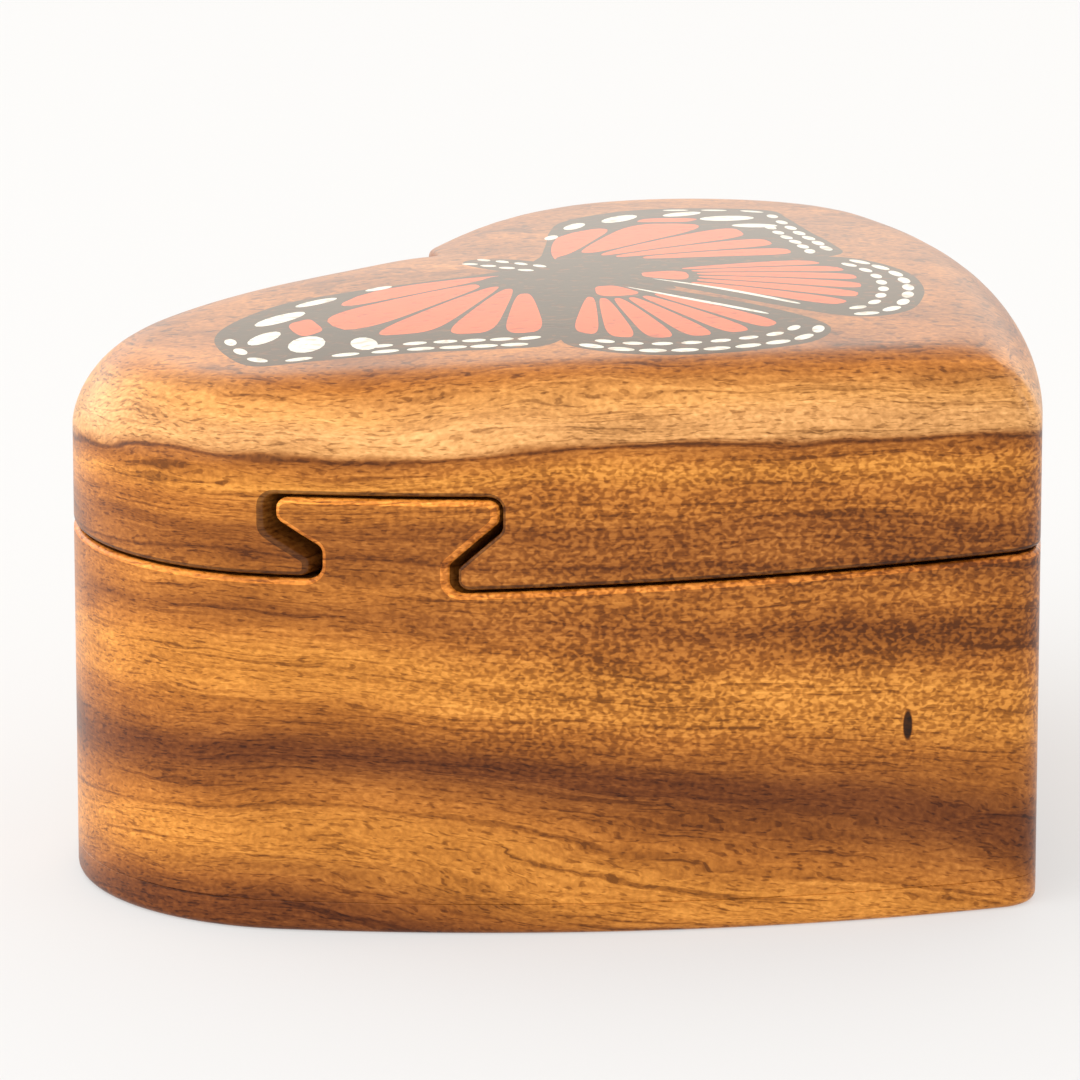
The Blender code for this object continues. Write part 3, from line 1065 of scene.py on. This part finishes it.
def varnished(name, paint=None, shade=1.0):
    """Wood, or paint over wood, under the varnish."""
    material = bpy.data.materials.new(name)
    material.use_nodes = True
    tree = material.node_tree
    tree.nodes.clear()
    wire = Wire(tree)
    colour, relief, pores = block_of_wood(wire)
    # A shade other than 1 is painted light: below 1 painted shade, above 1 painted highlight
    colour = colour.times(shade)
    if paint:
        brush = noise(*wood_place(wire), BRUSH_CELL, detail=2.0, shift=20.0) - 0.5
        cover = PAINT_COVER - pores * PAINT_MISSING_IN_PORES
        colour = cover.pick(colour, paint).times(1 + brush * BRUSH_STRENGTH)
    bump = wire.node("ShaderNodeBump", {}, {"Strength": 0.35, "Distance": 0.00006, "Height": relief})
    shader = wire.node("ShaderNodeBsdfPrincipled", {}, {
        "Base Color": colour, "Roughness": 0.55, "Specular IOR Level": 0.04, "Normal": bump,
        "Coat Weight": 0.8, "Coat Roughness": 0.3, "Coat IOR": 1.3,
    })
    shader.node("ShaderNodeOutputMaterial", {}, {"Surface": shader})
    return material


def dress(piece, *materials):
    """Gives a piece its materials, in the order of the slots that its faces name."""
    for material in materials:
        piece.data.materials.append(material)


# The sawn faces' material is darkened wood: painted shade for the joint and its gaps
sawn = varnished("sawn_wood_painted_shade", shade=SAWN_PAINTED_SHADE)
dress(lid, varnished("varnished_lid"), varnished("black_paint", BLACK_PAINT),
      varnished("orange_paint", ORANGE_PAINT), varnished("white_paint", WHITE_PAINT), sawn)
# The base's third material is lightened wood on its rounded edges: a painted highlight
dress(base, varnished("varnished_base"), sawn, varnished("edge_painted_highlight", shade=EDGE_PAINTED_HIGHLIGHT))
dress(plate, varnished("varnished_plate"))
for material in MARKS:
    bpy.data.materials.remove(material)
print("materials:", sorted(material.name for material in bpy.data.materials if material.users))

# %% [markdown]
# The photograph was taken on white. A soft lamp stands above and to the left, the room is
# white all round, and behind the box, low down, the backdrop is lit brightest. At a flat angle
# the lid's varnish mirrors that backdrop, and it is why the colours up there look washed while
# the flank stays rich. So the world is brighter in a low band behind, and brighter at the
# left, but the camera sees it as one plain white.

# %% The white room
ROOM_LIGHT = 1.0
ROOM_COLOUR = (1.0, 0.985, 0.955, 1.0)
LEFT_LIGHT = 1.35
WALL_LIGHT = 1.65
WALL_COLOUR = (1.0, 0.93, 0.80, 1.0)
WALL_FOOT = (-0.05, 0.22)
WALL_TOP = (0.3, 0.62)
TO_WALL = (0.791, 0.612, 0.0)
TO_LEFT = (-0.612, 0.791, 0.0)
SEEN_WHITE = 0.96


def make_world():
    world = bpy.data.worlds.new("studio")
    bpy.context.scene.world = world
    world.use_nodes = True
    world.node_tree.nodes.clear()
    wire = Wire(world.node_tree)
    way = wire.node("ShaderNodeTexCoord", output="Generated")
    behind = way.node("ShaderNodeVectorMath", {"operation": "DOT_PRODUCT"}, {0: way, 1: TO_WALL}, output=1)
    left = way.node("ShaderNodeVectorMath", {"operation": "DOT_PRODUCT"}, {0: way, 1: TO_LEFT}, output=1)
    up = way.node("ShaderNodeSeparateXYZ", {}, {0: way}, output=2)
    band = up.step(*WALL_FOOT) * (1 - up.step(*WALL_TOP))
    wall = behind.step(0.0, 0.8) * band * WALL_LIGHT
    room = ROOM_LIGHT + left.step(0.2, 0.9) * LEFT_LIGHT
    camera_ray = wire.node("ShaderNodeLightPath", output="Is Camera Ray")
    room = room + camera_ray * (SEEN_WHITE - room)
    light = wire.node("ShaderNodeBackground", {}, {"Color": ROOM_COLOUR, "Strength": room})
    wall = wall * (1 - camera_ray)
    glow = wire.node("ShaderNodeBackground", {}, {"Color": WALL_COLOUR, "Strength": wall})
    both = wire.node("ShaderNodeAddShader", {}, {0: light, 1: glow})
    both.node("ShaderNodeOutputWorld", {}, {"Surface": both})
    return len(world.node_tree.nodes)


print("nodes in the room's light:", make_world())

# %% [markdown]
# The floor is a sheet of white paper. In the photograph it is nearly as bright as the
# backdrop, with only a faint shadow under the box. A plain white sheet would come out grey
# beside the lit room, so this one is a darker white that glows a little of its own.

# %% Floor and lamp
FLOOR_SIZE = 4.0
FLOOR_WHITE = (0.34, 0.34, 0.345, 1.0)
FLOOR_GLOW_COLOUR = (1.0, 0.995, 0.985, 1.0)
FLOOR_GLOW = 0.47
LAMP_PLACE = (-0.75, -0.1, 0.95)
LAMP_TARGET = (0.0, 0.0, 0.03)
LAMP_SIZE = 1.0
LAMP_POWER = 3.0


def make_floor():
    edit = bmesh.new()
    bmesh.ops.create_grid(edit, x_segments=1, y_segments=1, size=FLOOR_SIZE)
    mesh = bpy.data.meshes.new("floor")
    edit.to_mesh(mesh)
    edit.free()
    floor = bpy.data.objects.new("floor", mesh)
    bpy.context.collection.objects.link(floor)
    material = bpy.data.materials.new("white_paper")
    material.use_nodes = True
    shader = material.node_tree.nodes["Principled BSDF"]
    shader.inputs["Base Color"].default_value = FLOOR_WHITE
    shader.inputs["Emission Color"].default_value = FLOOR_GLOW_COLOUR
    shader.inputs["Emission Strength"].default_value = FLOOR_GLOW
    shader.inputs["Roughness"].default_value = 0.9
    shader.inputs["Specular IOR Level"].default_value = 0.1
    mesh.materials.append(material)


def make_lamp():
    lamp = bpy.data.lights.new("softbox", "AREA")
    lamp.size = LAMP_SIZE
    lamp.energy = LAMP_POWER
    made = bpy.data.objects.new("softbox", lamp)
    made.location = LAMP_PLACE
    way = Vector(LAMP_TARGET) - Vector(LAMP_PLACE)
    made.rotation_euler = way.to_track_quat("-Z", "Y").to_euler()
    bpy.context.collection.objects.link(made)
    return way.length


make_floor()
print("lamp hangs", round(make_lamp(), 3), "m from the box")
bpy.context.scene.view_settings.view_transform = "Standard"

# %% [markdown]
# The frame moves its bodies, so each mesh rides on one of them, and takes the place of the
# plain solid that stood there. The base and its plate are glued, so they share a body.

# %% Tie the pieces to the frame
for piece, node, body, slot in (
    (base, "base", "box", "base_wood"),
    (plate, "bottom_plate", "box", "plate_wood"),
    (lid, "lid", "lid", "lid_wood"),
):
    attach(piece, body)
    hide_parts(node)
